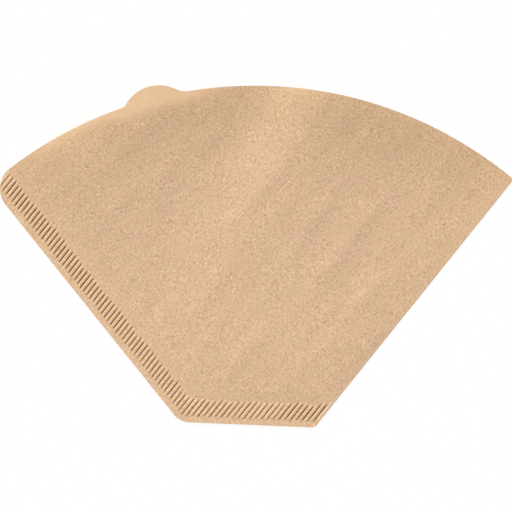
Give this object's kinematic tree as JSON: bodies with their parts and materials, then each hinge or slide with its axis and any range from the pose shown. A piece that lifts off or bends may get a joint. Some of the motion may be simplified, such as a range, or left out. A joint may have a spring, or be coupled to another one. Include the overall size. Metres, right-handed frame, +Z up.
{
  "type": "paper coffee filter",
  "caption": "Flat cone coffee filter of unbleached paper: a folded fan with a crimped side and bottom seam, an arched open mouth and a small thumb tab on the upper ply.",
  "frame": {"origin": "centre of the bounding box, on the surface that the filter lies on", "axes": "+X from the crimped seam towards the fold, +Y from the bottom seam towards the mouth, +Z up, out of the upper ply"},
  "size_m": [0.1656, 0.1102, 0.0073],
  "materials": {
    "filter_paper": "matte unbleached brown filter paper with a fine fibre grain"
  },
  "bodies": {
    "root": {"filter_paper": "filter_paper"}
  },
  "joints": []
}
